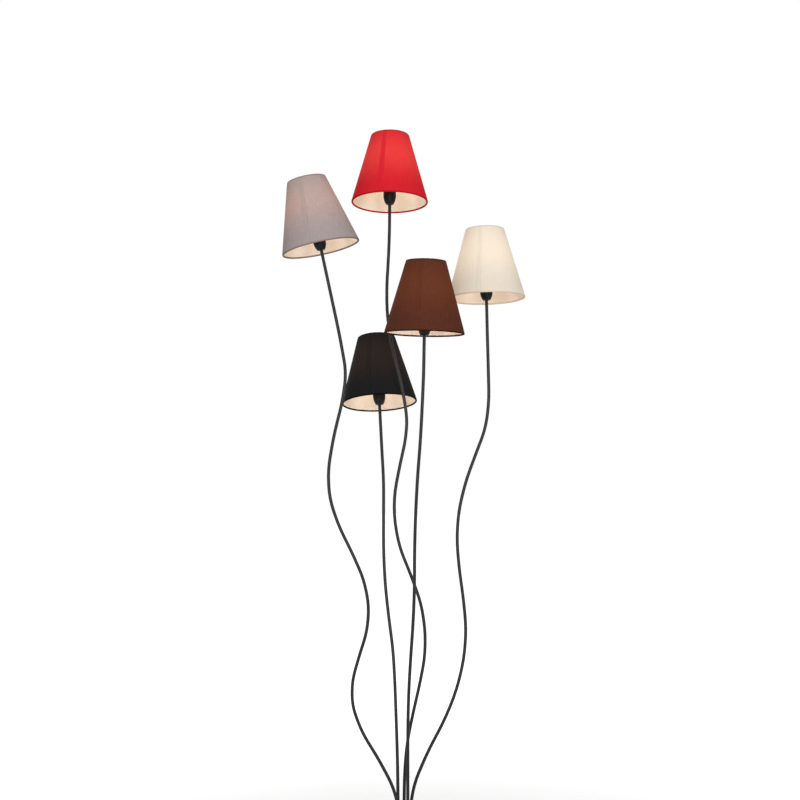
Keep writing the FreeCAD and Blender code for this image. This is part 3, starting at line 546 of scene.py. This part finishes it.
CLOTHS = {
    "grey": {"base": (0.395, 0.335, 0.330), "slub": (0.310, 0.260, 0.256),
             "rim_shade_tone": (0.22, 0.18, 0.175), "glow": (0.15, 0.060, 0.025)},
    "red": {"base": (0.70, 0.019, 0.031), "slub": (0.60, 0.013, 0.023),
            "rim_shade_tone": (0.42, 0.007, 0.014), "glow": (0.19, 0.032, 0.019),
            "seam_loss": 0.7},
    "cream": {"base": (0.57, 0.54, 0.465), "slub": (0.53, 0.50, 0.425),
              "rim_shade_tone": (0.45, 0.41, 0.34), "glow": (0.39, 0.285, 0.205),
              "least": 0.55, "seam_loss": 0.13},
    "brown": {"base": (0.101, 0.031, 0.0175), "slub": (0.073, 0.0215, 0.0125),
              "rim_shade_tone": (0.034, 0.010, 0.006), "glow": (0.045, 0.009, 0.001)},
    "black": {"base": (0.0150, 0.0145, 0.0150), "slub": (0.0110, 0.0107, 0.0110),
              "rim_shade_tone": (0.004, 0.004, 0.004), "glow": (0.0140, 0.0065, 0.0040)},
}
# The flat cut of the cover is a ring sector: its two radii are the slants to the cone's tip.
TIP = RIM_RADIUS / math.sin(SLOPE)
SPREAD = math.pi * math.sin(SLOPE)
turned_in = ROLL * math.radians(TUCK)
cut_low, cut_high = TIP + turned_in, TIP - SLANT - turned_in
CUT_SIZE = (2 * cut_low * math.sin(SPREAD), cut_low - cut_high * math.cos(SPREAD))
CUT_AREA = SPREAD * (cut_low ** 2 - cut_high ** 2)
fabric_profile = np.concatenate([fabric_line(0.0), fabric_line(FABRIC)[::-1]])
for arm, tones in CLOTHS.items():
    points = cloth_round(fabric_profile, HEADS[arm]["seam"], SEAM_RISE)
    cover = skin(f"fabric_{arm}", on_head(arm, points),
                 shade_cloth(f"{arm}_cloth", **tones), f"arm_{arm}",
                 unrolled_map(fabric_profile), closed=True, crease=60)
    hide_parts(f"shade_cover_{arm}")

# Lining: a stiff sheet of warm white plastic behind the cloth. The bulb's light on it is
# painted as warm emission, and its sheen is painted as soft streaks, in that emission and
# lighter in its colour, which run up the slant and differ in each shade.
lining = Finish("shade_lining")
where = lining.place("UV")
up = lining.add("SeparateXYZ", None, {0: where}, 1)
brushed = lining.noise(lining.stretched(where, (90.0, 2.0, 1.0)), 1.0, 3.0, 0.55)
shifted = lining.add("VectorMath", {"operation": "ADD"}, {
    0: lining.stretched(where, (13.0, 0.7, 1.0)),
    1: lining.stretched(lining.place(), (1.5, 1.5, 1.5))})
# Painted sheen in streaks. The bulb's light is painted as emission, full from just above the
# middle and falling to half at the top.
painted_sheen_streaks = lining.noise(shifted, 1.0, 1.0, 0.4).within(0.32, 0.68)
painted_bulb_light = up.within(-0.15, 0.55) * (1.0 - 0.5 * up.within(0.6, 1.0))
painted_light_share = painted_bulb_light * (0.75 + 0.5 * brushed)
painted_bulb_glow = lining.mix(painted_sheen_streaks, (0.19, 0.090, 0.030), (0.42, 0.310, 0.220))
lining_material = lining.surface(
    Base_Color=lining.mix(painted_sheen_streaks * 0.7 + brushed * 0.3, (0.71, 0.635, 0.55), (0.80, 0.75, 0.69)),
    Roughness=0.36 + 0.12 * brushed,
    Emission_Color=lining.mix(painted_light_share, (0.06, 0.036, 0.020), painted_bulb_glow),
    Emission_Strength=1.0, Normal=lining.bump(brushed, 0.3 * MM, 0.5))
LINING = 0.3 * MM
GLUE = 0.02 * MM
LINING_END = 118
LINING_LEAVES = 88
LINING_RISE = 2.6 * ROLL


def lining_line(depth):
    """The lining's profile at this depth: it leans on both wrapped wires and covers the
    tucked ends, and between them lies flat against the fabric."""
    lean = ROLL + GLUE + (depth - FABRIC)
    return np.concatenate([
        about_wire(low_along, lean, LINING_END, LINING_LEAVES, 5),
        wall_point(np.linspace(low_along + LINING_RISE, high_along - LINING_RISE, 50), depth),
        about_wire(high_along, lean, -LINING_LEAVES, -LINING_END, 5),
    ])


lining_profile = np.concatenate([lining_line(FABRIC + GLUE), lining_line(FABRIC + LINING)[::-1]])
for arm in ARMS:
    points = cloth_round(lining_profile, HEADS[arm]["seam"], 0.0)
    skin(f"lining_{arm}", on_head(arm, points), lining_material, f"arm_{arm}",
         unrolled_map(lining_profile), closed=True, crease=60)

# Floor: plain white paper that keeps the lamp's shadow. It looks white to the camera and in
# reflections, the more so the further it is from the lamp.
FLOOR_HALF = 30.0


def looked_at(finish):
    """1 for the rays of the camera, of reflections and through glass, 0 for the light's own."""
    kinds = ("Is Camera Ray", "Is Glossy Ray", "Is Transmission Ray")
    camera_ray, glossy_ray, through_ray = [finish.add("LightPath", output=kind) for kind in kinds]
    return (camera_ray + glossy_ray + through_ray).clamped()


floor_mesh = bpy.data.meshes.new("floor")
floor_mesh.from_pydata([(-FLOOR_HALF, -FLOOR_HALF, 0), (FLOOR_HALF, -FLOOR_HALF, 0),
                        (FLOOR_HALF, FLOOR_HALF, 0), (-FLOOR_HALF, FLOOR_HALF, 0)],
                       [], [(0, 1, 2, 3)])
floor = bpy.data.objects.new("floor", floor_mesh)
bpy.context.scene.collection.objects.link(floor)
paper = Finish("white_floor")
far = paper.add("VectorMath", {"operation": "LENGTH"}, {0: paper.place()}, 1).within(0.4, 2.0)
diffuse = paper.add("BsdfDiffuse", None, {"Color": (0.80, 0.80, 0.80)})
shining = paper.add("Emission", None, {"Color": (1.0, 1.0, 1.0), "Strength": 0.75})
lifted = paper.add("AddShader", None, {0: diffuse, 1: shining})
shown = paper.add("MixShader", None, {
    0: looked_at(paper) * (0.40 + 0.60 * far), 1: diffuse, 2: lifted})
paper.add("OutputMaterial", None, {"Surface": shown})
floor_mesh.materials.append(paper.material)

# Surround: white to the camera and in reflections, and a weaker even light on the object.
SURROUND_LIGHT = 0.50
surround = Finish("white_surround", bpy.data.worlds)
bpy.context.scene.world = surround.material
lighting = surround.add("Background", None, {
    "Color": (1.0, 1.0, 1.0), "Strength": SURROUND_LIGHT})
backdrop = surround.add("Background", None, {"Color": (1.0, 1.0, 1.0), "Strength": 1.0})
around = surround.add("MixShader", None, {0: looked_at(surround), 1: lighting, 2: backdrop})
surround.add("OutputWorld", None, {"Surface": around})


def softbox(name, place, target, width, height, power):
    """A large soft lamp, turned to face its target."""
    data = bpy.data.lights.new(name, "AREA")
    data.shape = "RECTANGLE"
    data.size = width
    data.size_y = height
    data.energy = power
    lamp = bpy.data.objects.new(name, data)
    bpy.context.scene.collection.objects.link(lamp)
    away = np.array(target) - np.array(place)
    lamp.location = place
    yaw = math.atan2(away[1], away[0]) - math.pi / 2
    pitch = math.atan2(away[2], math.hypot(away[0], away[1])) + math.pi / 2
    lamp.rotation_euler = (pitch, 0.0, yaw)


# Lamps: one large soft lamp beside the camera, a faint one to the right, and one behind.
softbox("front_box", (0.05, -3.5, 1.35), (0.0, 0.0, 1.1), 1.8, 1.8, 72.0)
softbox("side_box", (2.8, -1.8, 1.8), (0.0, 0.0, 1.0), 1.4, 2.2, 9.0)
softbox("back_box", (-1.2, 3.2, 2.4), (0.0, 0.0, 1.0), 1.6, 1.6, 30.0)

# Camera: at the height of the stems' middle, pitched up a little, as the photograph shows.
SENSOR = 36.0
LENS = 62.21
CAMERA_PLACE = (-0.00868, -3.0, 0.833)
CAMERA_PITCH = 3.2705
camera_data = bpy.data.cameras.new("camera")
camera_data.sensor_width = SENSOR
camera_data.lens = LENS
camera = bpy.data.objects.new("camera", camera_data)
camera.location = CAMERA_PLACE
camera.rotation_euler = (math.radians(90 + CAMERA_PITCH), 0.0, 0.0)
bpy.context.scene.collection.objects.link(camera)
bpy.context.scene.camera = camera
bpy.context.scene.view_settings.view_transform = "Standard"
